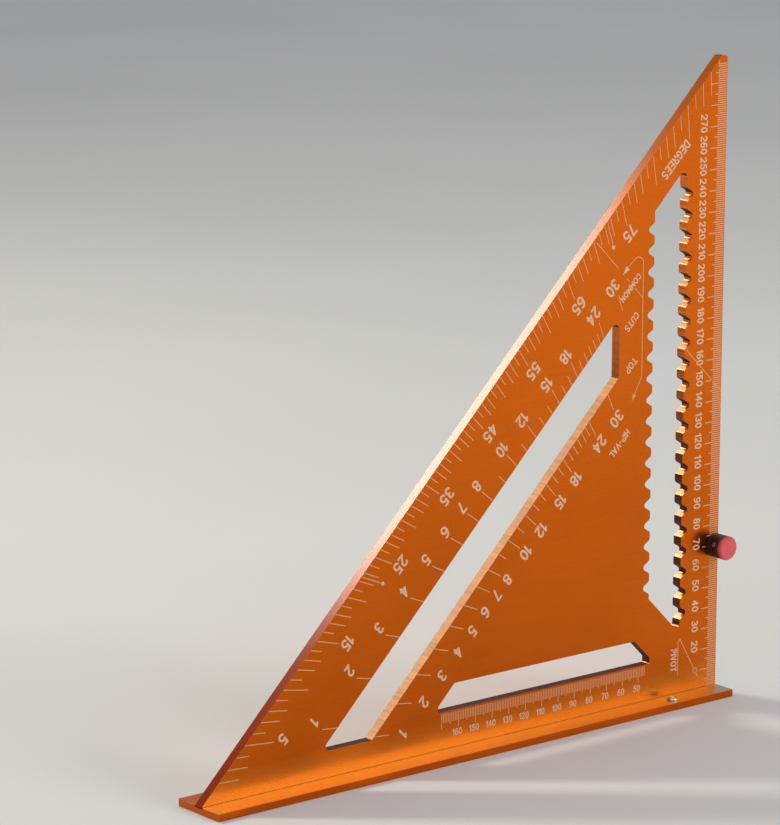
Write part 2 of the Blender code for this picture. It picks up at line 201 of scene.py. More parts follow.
def orange_metal(name, colour, metallic, roughness, coat, foot=None):
    """Satin orange anodising: a fine blasted grain, faint rolling streaks and soft clouds.

    foot is a painted reflection: the paler colour the face is painted near the fence, standing in
    for the lit flange mirrored in it.
    """
    n = Nodes(name, metallic, roughness, coat)
    streak = n.noise((0.05, 1.0, 1.0), 700.0, detail=3.0)
    cloud = n.noise((1.0, 1.0, 1.0), 16.0, detail=3.0)
    grain = n.noise((1.0, 1.0, 1.0), 2400.0, detail=2.0)
    tone = n.colours(n.spread(cloud, 0.0, 1.0), tinted(colour, 0.93), tinted(colour, 1.05))
    tone = n.colours(n.spread(streak, 0.0, 0.35), tone, tinted(colour, 0.86))
    # painted reflection: the face is painted paler towards the fence, for the lit flange it
    # mirrors
    if foot:
        split = n.add("ShaderNodeSeparateXYZ")
        n.link(n.place, split.inputs["Vector"])
        fade = n.spread(split.outputs["Z"], 1.0, 0.0, FENCE_HIGH.z, FENCE_HIGH.z + PAINTED_REFLECTION_HEIGHT)
        tone = n.colours(fade, tone, foot)
    n.base(tone)
    n.rough(n.maths("ADD", n.spread(grain, roughness - 0.05, roughness + 0.05),
                    n.spread(cloud, 0.0, 0.05)))
    n.bump(n.maths("ADD", grain, n.maths("MULTIPLY", streak, 0.5)), 0.12, 0.02 * MM)
    return n.material


def milled_wall(name, colour, metallic, roughness, coat, coat_roughness, chatter=0.25,
                shine=0.5, upper=None, change=None, upper_coat=None):
    """Anodising over a milled wall, with cutter marks across the plate's thickness, in a colour
    painted lighter or darker for the light and shade on that wall.

    chatter is how deep those marks look, shine how much bare white light the dye layer turns
    back. upper is painted light: a paler colour the wall is painted above change, a pair of
    heights, and upper_coat is the clear layer's weight there.
    """
    n = Nodes(name, metallic, roughness, coat, coat_roughness)
    n.shader.inputs["Specular IOR Level"].default_value = shine
    cutter = n.noise((1.0, 0.04, 1.0), 900.0, detail=2.0)
    cloud = n.noise((1.0, 1.0, 1.0), 60.0, detail=3.0)
    tone = colour
    # painted light: the wall is painted towards upper above the heights in change
    if upper:
        split = n.add("ShaderNodeSeparateXYZ")
        n.link(n.place, split.inputs["Vector"])
        tone = n.colours(n.spread(split.outputs["Z"], 0.0, 1.0, *change), colour, upper)
        if upper_coat:
            n.link(n.spread(split.outputs["Z"], coat, upper_coat, *change),
                   n.shader.inputs["Coat Weight"])
    mark = n.spread(cutter, 0.0, 0.06 + chatter)
    tone = n.colours(mark, tone, tinted(DEEP_ORANGE, 0.5))
    n.base(n.colours(n.spread(cloud, 0.0, 0.10), tone, tinted(PALE_ORANGE, 0.3)))
    n.rough(n.spread(cutter, roughness - 0.05, roughness + 0.08))
    n.bump(cutter, chatter, 0.05 * MM)
    return n.material


def worn_edge(name):
    """Eased corners, where the colour has rubbed thin in patches; the pale patches and nicks are
    also painted arris highlights.
    """
    n = Nodes(name, 0.8, 0.34, 0.4)
    patch = n.noise((1.0, 1.0, 1.0), 160.0, detail=5.0)
    nick = n.noise((1.0, 1.0, 1.0), 1500.0, detail=3.0)
    # rubbed patches and pale nicks: wear, and also painted arris highlights
    tone = n.colours(n.spread(patch, 0.0, 1.0, 0.4, 0.62), ORANGE, (0.80, 0.27, 0.08))
    tone = n.colours(n.spread(nick, 0.0, 0.8, 0.58, 0.72), tone, (0.86, 0.62, 0.45))
    n.base(tone)
    n.rough(n.spread(nick, 0.28, 0.42))
    n.bump(nick, 0.15, 0.03 * MM)
    return n.material


def etched_mark(name, colour):
    """Laser-bleached anodising: pale, matt and slightly uneven."""
    n = Nodes(name, 0.2, 0.55)
    fleck = n.noise((1.0, 1.0, 1.0), 1800.0, detail=3.0)
    n.base(n.colours(n.spread(fleck, 0.0, 1.0), tinted(colour, 0.85), colour))
    n.rough(n.spread(fleck, 0.45, 0.65))
    n.bump(fleck, 0.1, 0.02 * MM)
    return n.material


def bright_steel(name, share=1.0):
    """Ground steel; share below 1 dulls it."""
    n = Nodes(name, 1.0, 0.25)
    grain = n.noise((1.0, 1.0, 1.0), 700.0)
    n.base(n.colours(n.spread(grain, 0.0, 1.0), tinted((0.56, 0.55, 0.53), share),
                     tinted((0.78, 0.77, 0.75), share)))
    n.rough(n.spread(grain, 0.18, 0.34))
    n.bump(grain, 0.12, 0.02 * MM)
    return n.material


def black_metal(name):
    """Turned and black anodised, with faint tool rings and rubbed spots."""
    n = Nodes(name, 0.0, 0.38, 0.1, 0.2)
    ring = n.noise((0.05, 1.0, 0.05), 2600.0, detail=3.0)
    spot = n.noise((1.0, 1.0, 1.0), 380.0)
    tone = n.colours(n.spread(ring, 0.0, 1.0), (0.004, 0.004, 0.005), (0.012, 0.011, 0.012))
    tone = n.colours(n.spread(spot, 0.0, 0.6, 0.62, 0.8), tone, (0.06, 0.055, 0.05))
    n.base(tone)
    n.rough(n.spread(ring, 0.32, 0.46))
    n.bump(ring, 0.15, 0.02 * MM)
    return n.material


def red_metal(name, colour):
    """Red anodised cap whose face carries fine turning rings about its own axis."""
    n = Nodes(name, 0.6, 0.3, 0.5, 0.15)
    n.shader.inputs["Anisotropic"].default_value = 0.8
    turning = n.add("ShaderNodeTangent", direction_type="RADIAL", axis="Y")
    n.link(turning.outputs["Tangent"], n.shader.inputs["Tangent"])
    rings = n.rings_about(STOP_AXIS, 0.22 * MM)
    cloud = n.noise((1.0, 1.0, 1.0), 420.0, detail=3.0)
    tone = n.colours(n.spread(cloud, 0.0, 1.0), tinted(colour, 0.85), colour)
    n.base(n.colours(n.spread(rings, 0.0, 0.08, -1.0, 1.0), tone, tinted(colour, 0.6)))
    n.rough(n.spread(cloud, 0.29, 0.31))
    n.bump(cloud, 0.05, 0.02 * MM)
    return n.material


def nylon(name):
    n = Nodes(name, 0.0, 0.55)
    grain = n.noise((1.0, 1.0, 1.0), 1400.0, detail=3.0)
    n.base(n.colours(n.spread(grain, 0.0, 1.0), (0.022, 0.022, 0.024), (0.04, 0.04, 0.042)))
    n.rough(n.spread(grain, 0.48, 0.62))
    n.bump(grain, 0.2, 0.04 * MM)
    return n.material


ORANGE = (0.73, 0.138, 0.005)
# painted reflection of the lit flange, at the face's foot
FOOT_PAINTED_REFLECTION = (0.80, 0.27, 0.03)
UPRIGHT_PAINTED_LIGHT_HEIGHTS = (0.11, 0.21)               # heights between which the upright walls are painted paler, as painted light
TIP_PAINTED_LIGHT_HEIGHTS = (0.210, 0.275)             # heights between which the outer edges are painted paler towards the tip, as painted light
PAINTED_REFLECTION_HEIGHT = 14.0 * MM                 # how far up the blade the painted reflection of the lit flange reaches
# front flange's top, painted paler and yellower than the face as painted light
FLANGE_PAINTED_LIGHT_ORANGE = (0.63, 0.315, 0.045)
# outer edges: painted dark as painted shade, and paler near the tip as painted light
EDGE_ORANGE = (0.33, 0.028, 0.001)
TIP_PAINTED_LIGHT_ORANGE = (0.43, 0.09, 0.004)
# wall colours painted for light and shade: slot walls darker, notch walls paler, floors and roofs
# dark
SLOT_ORANGE = (0.20, 0.065, 0.006)
NOTCH_ORANGE = (0.42, 0.13, 0.03)
SHADED_ORANGE = (0.085, 0.022, 0.012)
# DEEP_ORANGE darkens tool marks and is the upright walls' painted shade; PALE_ORANGE tints clouds
# and is their painted light higher up
DEEP_ORANGE = (0.08, 0.008, 0.002)
PALE_ORANGE = (1.0, 0.22, 0.02)


# ---------------------------------------------------------------- shared building calls

def add_piece(name, bm, finishes, body, smooth_angle=None):
    """Close a bmesh into a piece that rides on a body."""
    mesh = bpy.data.meshes.new(name)
    bmesh.ops.recalc_face_normals(bm, faces=bm.faces[:])
    bm.to_mesh(mesh)
    bm.free()
    for finish in finishes:
        mesh.materials.append(finish)
    if smooth_angle is not None:
        mesh.shade_smooth()
        mesh.set_sharp_from_angle(angle=math.radians(smooth_angle))
    piece = bpy.data.objects.new(name, mesh)
    bpy.context.scene.collection.objects.link(piece)
    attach(piece, body)
    return piece


def eased(node, name, width, finishes, body, choose=None, spare=None):
    """A CAD node's shape with its corners eased; the last finish goes on the eased corners.

    choose(face) picks a face's finish, and spare(edge) names the corners left sharp.
    """
    bm = bmesh.new()
    bm.from_mesh(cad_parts[node].data)
    bmesh.ops.remove_doubles(bm, verts=bm.verts[:], dist=1e-6)
    bmesh.ops.dissolve_limit(bm, angle_limit=math.radians(SAME_PLANE), verts=bm.verts[:],
                             edges=bm.edges[:])
    for face in bm.faces:
        face.material_index = choose(face) if choose else 0
        face.smooth = True
    corners = [edge for edge in bm.edges if edge.calc_face_angle() > math.radians(CORNER)
               and not (spare and spare(edge))]
    made = bmesh.ops.bevel(bm, geom=corners, offset=width, segments=2, profile=0.5,
                           affect="EDGES", clamp_overlap=True)
    rims = set(made["faces"])
    for face in rims:
        face.material_index = len(finishes) - 1
        face.smooth = True
    for edge in bm.edges:
        at_rim = len([face for face in edge.link_faces if face in rims]) == 1
        edge.smooth = not at_rim and edge.calc_face_angle(0.0) < math.radians(SMOOTH_JOIN)
    piece = add_piece(name, bm, finishes, body)
    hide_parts(node)
    return piece


def turned_piece(name, profile, sides, place, finishes, body, grooves=None):
    """Spin (radius, height) points about Z; grooves(angle, row) may shrink a point's radius."""
    bm = bmesh.new()
    rows = []
    for row, (radius, height) in enumerate(profile):
        if radius == 0.0:
            rows.append([bm.verts.new(place @ Vector((0.0, 0.0, height)))])
            continue
        ring = []
        for side in range(sides):
            angle = math.tau * side / sides
            reach = radius - (grooves(side, row) if grooves else 0.0)
            ring.append(bm.verts.new(place @ Vector((reach * math.cos(angle),
                                                     reach * math.sin(angle), height))))
        rows.append(ring)
    for low, high in zip(rows, rows[1:]):
        for side in range(sides):
            after = (side + 1) % sides
            corners = [low[side % len(low)], low[after % len(low)],
                       high[after % len(high)], high[side % len(high)]]
            bm.faces.new(list(dict.fromkeys(corners)))
    return add_piece(name, bm, finishes, body, smooth_angle=TURNED_JOIN)


# ---------------------------------------------------------------- stroke lettering

def arc(x, y, across, up, start, end):
    """Points on part of an oval, every 20 degrees or finer."""
    steps = max(2, math.ceil(abs(end - start) / 20.0))
    points = []
    for step in range(steps + 1):
        angle = math.radians(start + (end - start) * step / steps)
        points.append((x + across * math.cos(angle), y + up * math.sin(angle)))
    return points


def oval(x, y, across, up):
    return arc(x, y, across, up, 0.0, 360.0)


SIX = [oval(0.27, 0.29, 0.27, 0.29), arc(0.37, 0.42, 0.37, 0.58, 68.0, 180.0) + [(0.0, 0.29)]]
P_BOWL = [(0.0, 0.0), (0.0, 1.0), (0.28, 1.0)] + arc(0.28, 0.75, 0.25, 0.25, 75.0, -75.0) + [
    (0.28, 0.5), (0.0, 0.5)]

# Each letter is a list of pen strokes in a box one unit high
LETTERS = {
    "0": [oval(0.27, 0.5, 0.27, 0.5)],
    "1": [[(0.04, 0.77), (0.26, 1.0)], [(0.26, 1.0), (0.26, 0.0)]],
    "2": [arc(0.27, 0.73, 0.26, 0.27, 165.0, -38.0) + [(0.0, 0.0)], [(0.0, 0.0), (0.54, 0.0)]],
    "3": [arc(0.26, 0.76, 0.23, 0.24, 150.0, -85.0),
          arc(0.26, 0.26, 0.27, 0.26, 85.0, -150.0)],
    "4": [[(0.41, 0.0), (0.41, 1.0)], [(0.41, 1.0), (0.0, 0.27)], [(0.0, 0.27), (0.56, 0.27)]],
    "5": [[(0.48, 1.0), (0.10, 1.0), (0.07, 0.55)],
          [(0.07, 0.55)] + arc(0.25, 0.31, 0.28, 0.31, 100.0, -155.0)],
    "6": SIX,
    "7": [[(0.0, 1.0), (0.52, 1.0)], [(0.52, 1.0), (0.17, 0.0)]],
    "8": [oval(0.27, 0.76, 0.22, 0.24), oval(0.27, 0.26, 0.27, 0.26)],
    "9": [[(0.54 - x, 1.0 - y) for x, y in stroke] for stroke in SIX],
    "-": [[(0.0, 0.45), (0.26, 0.45)]],
    "A": [[(0.0, 0.0), (0.31, 1.0)], [(0.31, 1.0), (0.62, 0.0)], [(0.10, 0.32), (0.52, 0.32)]],
    "C": [arc(0.33, 0.5, 0.33, 0.5, 48.0, 312.0)],
    "D": [[(0.0, 0.0), (0.0, 1.0), (0.2, 1.0)] + arc(0.2, 0.5, 0.37, 0.5, 75.0, -75.0)
          + [(0.2, 0.0), (0.0, 0.0)]],
    "E": [[(0.5, 1.0), (0.0, 1.0), (0.0, 0.0), (0.5, 0.0)], [(0.0, 0.52), (0.44, 0.52)]],
    "G": [arc(0.33, 0.5, 0.33, 0.5, 48.0, 325.0) + [(0.64, 0.46), (0.38, 0.46)]],
    "H": [[(0.0, 0.0), (0.0, 1.0)], [(0.56, 0.0), (0.56, 1.0)], [(0.0, 0.5), (0.56, 0.5)]],
    "I": [[(0.0, 0.0), (0.0, 1.0)]],
    "L": [[(0.0, 1.0), (0.0, 0.0), (0.46, 0.0)]],
    "M": [[(0.0, 0.0), (0.0, 1.0)], [(0.0, 1.0), (0.34, 0.25)], [(0.34, 0.25), (0.68, 1.0)],
          [(0.68, 1.0), (0.68, 0.0)]],
    "N": [[(0.0, 0.0), (0.0, 1.0)], [(0.0, 1.0), (0.56, 0.0)], [(0.56, 0.0), (0.56, 1.0)]],
    "O": [oval(0.35, 0.5, 0.35, 0.5)],
    "P": [P_BOWL],
    "R": [P_BOWL, [(0.28, 0.5), (0.54, 0.0)]],
    "S": [arc(0.27, 0.75, 0.24, 0.25, 35.0, 262.0) + arc(0.27, 0.26, 0.27, 0.26, 82.0, -145.0)],
    "T": [[(0.0, 1.0), (0.56, 1.0)], [(0.28, 1.0), (0.28, 0.0)]],
    "U": [[(0.0, 1.0), (0.0, 0.27)] + arc(0.27, 0.27, 0.27, 0.27, 180.0, 360.0) + [(0.54, 1.0)]],
    "V": [[(0.0, 1.0), (0.3, 0.0)], [(0.3, 0.0), (0.6, 1.0)]],
}


def letter_width(letter):
    return max(x for stroke in LETTERS[letter] for x, _ in stroke)


class Marks:
    """Thin etched strokes gathered into one closed mesh on one face of the blade.

    Places are (inset, height) pairs: in from the upright edge and up from the zero line.
    """

    def __init__(self, back=False):
        self.bm = bmesh.new()
        self.level = BACK if back else FRONT
        self.outward = 1.0 if back else -1.0
        self.slope = -45.0 if back else -135.0      # reads down the sloping edge
        self.count = 0

    def vertex(self, place, top):
        """A corner on the marks' top, which rises a hair with each stroke, or at their foot."""
        inset, height = place
        lift = MARK_PROUD + STROKE_STEP * (self.count % STROKE_LEVELS) if top else 0.0
        return self.bm.verts.new((RIGHT_EDGE - inset, self.level + self.outward * lift,
                                  SCALE_ZERO + height))

    def stroke(self, points, width):
        """A closed ribbon along the points, with rounded ends unless the points form a loop."""
        points = [Vector(point) for point in points]
        loop = (points[0] - points[-1]).length < 1e-9
        shares = [1.0] * len(points)
        if loop:
            points.pop()
        else:
            first = (points[1] - points[0]).normalized() * width
            last = (points[-1] - points[-2]).normalized() * width
            points = ([points[0] - first * 0.5, points[0] - first * 0.3] + points
                      + [points[-1] + last * 0.3, points[-1] + last * 0.5])
            shares = [0.45, 0.8] + shares + [0.8, 0.45]
        count = len(points)
        self.count += 1
        rows = []
        for index, here in enumerate(points):
            before = points[index - 1] if loop or index else here
            after = points[(index + 1) % count] if loop or index < count - 1 else here
            arrive = (here - before).normalized() if here != before else None
            leave = (after - here).normalized() if after != here else arrive
            arrive = arrive or leave
            along = (arrive + leave).normalized()
            half = width * shares[index] / 2.0 / max(along.dot(leave), 0.5)
            side = Vector((-along.y, along.x)) * half
            rows.append([self.vertex(here + side, True), self.vertex(here - side, True),
                         self.vertex(here - side, False), self.vertex(here + side, False)])
        for index in range(count if loop else count - 1):
            row, after = rows[index], rows[(index + 1) % count]
            for corner in range(4):
                other = (corner + 1) % 4
                self.bm.faces.new((row[corner], row[other], after[other], after[corner]))
        if not loop:
            self.bm.faces.new(rows[0][::-1])
            self.bm.faces.new(rows[-1])

    def slab(self, corners):
        """A thin solid over an outline."""
        self.count += 1
        top = [self.vertex(corner, True) for corner in corners]
        foot = [self.vertex(corner, False) for corner in corners]
        self.bm.faces.new(top)
        self.bm.faces.new(foot[::-1])
        for index in range(len(corners)):
            after = (index + 1) % len(corners)
            self.bm.faces.new((top[after], top[index], foot[index], foot[after]))

    def tick(self, start, end):
        self.stroke([start, end], TICK_WIDTH)

    def dot(self, centre, radius):
        self.slab(arc(centre[0], centre[1], radius, radius, 20.0, 360.0))

    def arrow(self, tip, towards, length, width):
        """A solid arrowhead at tip, pointing along towards."""
        ahead = Vector(towards).normalized()
        side = Vector((-ahead.y, ahead.x)) * width / 2.0
        heel = Vector(tip) - ahead * length
        self.slab([Vector(tip), heel + side, heel - side])

    def write(self, text, centre, angle, height, squeeze=1.0, pen=PEN):
        """Letters centred on a place; angle is in degrees, anticlockwise as seen on the face."""
        size = height / (1.0 + pen)
        widths = [letter_width(letter) for letter in text]
        cursor = -(sum(widths) + LETTER_GAP * (len(text) - 1)) / 2.0
        turn = Matrix.Rotation(math.radians(angle), 2)
        for letter, width in zip(text, widths):
            for stroke in LETTERS[letter]:
                points = []
                for x, y in stroke:
                    spot = turn @ Vector(((cursor + x) * squeeze, y - 0.5)) * size
                    points.append((centre[0] + self.outward * spot.x, centre[1] + spot.y))
                self.stroke(points, pen * size)
            cursor += width + LETTER_GAP

    def done(self, name, finish):
        return add_piece(name, self.bm, [finish], "root")


# ---------------------------------------------------------------- scales

def graded(step, lengths):
    """A tick's length at a millimetre step, from (centimetre, half centimetre, millimetre)."""
    whole, half, single = lengths
    return (whole if step % 10 == 0 else half if step % 5 == 0 else single) * MM


def upright_scale(ticks, figures):
    """Millimetre ticks up the right edge, with a figure every centimetre."""
    for step in range(1, 300):
        height = step * MM
        ticks.stroke([(TICK_GAP, height), (graded(step, UPRIGHT_TICKS), height)],
                     EDGE_TICK_WIDTH)
    for step in range(20, 280, 10):
        figures.write(str(step), (14.1 * MM, (step + 2.0) * MM), DOWN, 4.3 * MM)


def fence_scale(ticks, figures):
    """Millimetre ticks under the low slot."""
    for step in range(46, 171):
        foot = FENCE_TICK_TOP - graded(step, FENCE_TICKS)
        ticks.tick((step * MM, FENCE_TICK_TOP), (step * MM, foot))
    for step in range(50, 170, 10):
        figures.write(str(step), ((step + 0.8) * MM, 8.2 * MM), 0.0, 3.3 * MM)


def ray(angle):
    return Vector((math.cos(angle), math.sin(angle)))


def on_slope(angle, reach):
    """Where a ray from the pivot, at that angle above the fence, meets a sloping line."""
    return ray(angle) * reach / (math.cos(angle) + math.sin(angle))


def degree_scale(ticks, figures):
    """Rays from the pivot along the sloping edge: long at fives, short at ones and fours."""
    five, middle, single = DEGREE_TICKS
    for degree in range(1, 90):
        angle = math.radians(degree)
        start = on_slope(angle, REACH)
        lean = math.cos(angle - math.radians(45.0))
        if degree % 5 == 0:
            length = five * MM / lean ** 2
        elif degree % 5 in (2, 3):
            length = middle * MM / lean
        else:
            length = single * MM / lean
        ticks.tick(start - ray(angle) * TICK_GAP, start - ray(angle) * length)
        if degree % 10 == 5 and degree < 80:
            lift = Vector((-0.75, 0.75)) * MM
            centre = start - ray(angle) * (length + 4.7 * MM) + lift
            figures.write(str(degree), centre, figures.slope, SLOPE_FIGURE)
    for degree in (22.5, 72.5):
        angle = math.radians(degree)
        start = on_slope(angle, REACH)
        centre = start - ray(angle) * DOT_DEPTH
        end = centre + ray(angle) * (DOT_RADIUS + TICK_WIDTH / 2.0)
        ticks.tick(start - ray(angle) * TICK_GAP, end)
        figures.dot(centre, DOT_RADIUS)


def rafter_scale(ticks, figures, reach, run, outward):
    """Inches of rise for a fixed run, along one wall of the sloping slot."""
    square = ray(math.radians(45.0)) * outward
    for rise in list(range(1, 25)) + [30]:
        angle = math.atan(rise / run)
        start = on_slope(angle, reach)
        way = ray(angle) * outward
        named = rise in NAMED_RISES
        length = NAMED_TICK if named else PLAIN_TICK
        ticks.tick(start + way * TICK_GAP, start + way * length)
        if not named:
            continue
        lean = way.dot(square)
        if outward > 0.0:
            centre = start + way * length + square * (FIGURE_LINE - length * lean)
        else:
            centre = start + way * FIGURE_LINE / lean
        figures.write(str(rise), centre, figures.slope, SLOPE_FIGURE)


def legends(marks):
    """Trade words found on any rafter square, and the bold arrowhead above one of them."""
    marks.write("DEGREES", (31.6 * MM, 256.9 * MM), marks.slope, 4.8 * MM, 0.93)
    marks.write("COMMON", (58.4 * MM, 200.4 * MM), marks.slope, 3.3 * MM, 1.03)
    marks.write("CUTS", (57.4 * MM, 184.3 * MM), marks.slope, 3.7 * MM)
    marks.write("TOP", (57.5 * MM, 163.9 * MM), marks.slope, 3.7 * MM)
    marks.write("HIP-VAL", (63.9 * MM, 127.8 * MM), marks.slope, 3.7 * MM)
    marks.write("PIVOT", (27.4 * MM, 17.6 * MM), DOWN, 3.9 * MM, 0.9)
    marks.arrow((63.4 * MM, 206.8 * MM), (1.0, -1.0), 4.4 * MM, 2.8 * MM)


def leaders(marks):
    """Thin lines that tie the words to their scales, the pivot's mark and the 45 degree line."""
    bend = arc(54.0 * MM, 211.0 * MM, 3.2 * MM, 3.2 * MM, 45.0, 180.0)
    marks.stroke([(59.9 * MM, 210.3 * MM)] + bend + [(50.8 * MM, 158.0 * MM),
                 (55.6 * MM, 149.0 * MM)], LEADER_WIDTH)
    marks.arrow((56.8 * MM, 146.8 * MM), (1.2, -2.2), 3.4 * MM, 2.2 * MM)
    marks.stroke([(24.7 * MM, 10.0 * MM), (24.7 * MM, 26.0 * MM), (23.5 * MM, 27.3 * MM),
                  (14.2 * MM, 11.4 * MM)], LEADER_WIDTH)
    marks.stroke(oval(13.5 * MM, 10.2 * MM, 1.3 * MM, 1.3 * MM), LEADER_WIDTH)
    marks.arrow((11.0 * MM, 6.0 * MM), (-2.5, -4.2), 3.0 * MM, 1.2 * MM)
    for near, far in REFERENCE_SPANS:
        marks.tick((near * MM, REFERENCE_FOOT + near * MM), (far * MM, REFERENCE_FOOT + far * MM))


def build_marks(tick_finish, figure_finish, back=False):
    """All five scales on one face, each as a piece of ticks and a piece of figures."""
    side = "back" if back else "front"
    scales = [("upright", upright_scale, ()), ("fence", fence_scale, ()),
              ("degree", degree_scale, ()),
              ("common", rafter_scale, (OUTER_REACH, 10.0, 1.0)),
              ("hip_valley", rafter_scale, (INNER_REACH, math.sqrt(200.0), -1.0))]
    for name, scale, settings in scales:
        ticks = Marks(back)
        figures = Marks(back)
        scale(ticks, figures, *settings)
        ticks.done("%s_%s_ticks" % (side, name), tick_finish)
        figures.done("%s_%s_figures" % (side, name), figure_finish)


# ---------------------------------------------------------------- camera, lights and floor

CAMERA_PLACE = Vector((-1.18753, -1.39619, 0.56746))
CAMERA_TARGET = Vector((-0.0482, FRONT, 0.1639))
CAMERA_LENS = 183.42                    # in mm, on a sensor 36 mm wide
CAMERA_ROLL = 0.165                     # in degrees


def build_camera():
    """A long lens, 1.8 metres away, low and well to the left of the front face."""
    data = bpy.data.cameras.new("camera")
    data.sensor_width = 36.0
    data.lens = CAMERA_LENS
    data.clip_end = 20.0
    camera = bpy.data.objects.new("camera", data)
    bpy.context.scene.collection.objects.link(camera)
    camera.location = CAMERA_PLACE
    look = (CAMERA_TARGET - CAMERA_PLACE).to_track_quat("-Z", "Y").to_matrix().to_4x4()
    roll = Matrix.Rotation(math.radians(CAMERA_ROLL), 4, "Z")
    camera.rotation_euler = (look @ roll).to_euler()
    bpy.context.scene.camera = camera


def area_light(name, place, target, size, power, turn=0.0, colour=(1.0, 1.0, 1.0)):
    """A rectangular light aimed at target, turned about its own beam by turn degrees."""
    data = bpy.data.lights.new(name, "AREA")
    data.shape = "RECTANGLE"
    data.size, data.size_y = size
    data.energy = power
    data.color = colour
    light = bpy.data.objects.new(name, data)
    bpy.context.scene.collection.objects.link(light)
    light.location = place
    aim = (Vector(target) - Vector(place)).to_track_quat("-Z", "Y").to_matrix()
    light.rotation_euler = (aim @ Matrix.Rotation(math.radians(turn), 3, "Z")).to_euler()
    return light


STRIP_PLACE = (-0.235, 1.09, 1.18)      # mirrored towards the camera by the sloping edge
STRIP_SIZE = (0.15, 0.45)
STRIP_COLOUR = (1.0, 0.96, 0.77)
STRIP_TURN = 45.0                       # in degrees, about its own beam
STRIP_AIM = (0.0, 0.0, 0.12)
POOL_PLACE = (1.35, -1.40, 1.3)
STUDIO_AIM = (0.0, 0.0, 0.1)
FLOOR_HALF = 12.0                       # in metres, so that its rim is far off in low views


def build_floor():
    """A plain pale floor, a hair under the fence."""
    mesh = bpy.data.meshes.new("floor")
    corners = [(-1, -1), (1, -1), (1, 1), (-1, 1)]
    mesh.from_pydata([(FLOOR_HALF * x, FLOOR_HALF * y, 0.0) for x, y in corners],
                     [], [(0, 1, 2, 3)])
    floor = bpy.data.objects.new("floor", mesh)
    bpy.context.scene.collection.objects.link(floor)
    floor.location.z = FENCE_LOW[2] - 0.1 * MM
    n = Nodes("pale_floor", 0.0, 0.7)
    cloud = n.noise((1.0, 1.0, 1.0), 3.0, detail=2.0)
    n.base(n.colours(n.spread(cloud, 0.0, 1.0), (0.72, 0.72, 0.71), (0.76, 0.76, 0.75)))
    mesh.materials.append(n.material)


def build_lights():
    """A dim even studio, and a strip behind the square that its sloping edge reflects."""
    world = bpy.data.worlds.new("studio")
    world.use_nodes = True
    sky = world.node_tree.nodes["Background"]
    sky.inputs["Color"].default_value = (0.95, 0.96, 1.0, 1.0)
    sky.inputs["Strength"].default_value = 0.43
    bpy.context.scene.world = world
    area_light("strip_behind", STRIP_PLACE, STRIP_AIM, STRIP_SIZE, 8.5, STRIP_TURN, STRIP_COLOUR)
    # The same strip again, seen only in reflections so that the floor is not washed out
    core = area_light("strip_core", STRIP_PLACE, STRIP_AIM, STRIP_SIZE, 17.0, STRIP_TURN,
                      STRIP_COLOUR)
    core.visible_diffuse = False
    area_light("floor_pool", POOL_PLACE, (POOL_PLACE[0], POOL_PLACE[1], 0.0), (0.9, 0.9), 20.0)
    area_light("overhead", (-0.3, -0.4, 1.9), STUDIO_AIM, (1.4, 1.4), 3.5)
    area_light("card_right", (1.20, -1.90, 0.72), STUDIO_AIM, (0.8, 0.5), 2.4)


# ---------------------------------------------------------------- pieces

def blade_finish(face):
    """0 flat, 1 outer edge, 2 slot wall, 3 notch, 4 slot's floor or roof, 5 upright wall; finishes
    1 to 5 carry painted light and shade.
    """
    if abs(face.normal.y) > 0.9:
        return 0
    centre = face.calc_center_median()
    inset = RIGHT_EDGE - centre.x
    height = centre.z - SCALE_ZERO
    if inset + height > REACH - 4.0 * MM or inset < 1.0 * MM:
        return 1
    # floors and roofs take the painted-shade finish
    if face.normal.z > 0.9 or face.normal.z < -0.3:
        return 4
    if face.normal.x < -0.9:
        return 5
    return 3 if inset < NOTCHED_INSET else 2


def fence_finish(face):
    """0 front flange, painted paler and yellower as painted light, 1 all other faces, a darker
    copy of the face's orange as painted shade.
    """
    return 0 if face.normal.z > 0.9 and face.calc_center_median().y < FRONT else 1


def in_groove(edge):
    """A corner of the groove that the blade stands in."""
    return all(abs(vert.co.y) < 2.0 * BACK for vert in edge.verts)


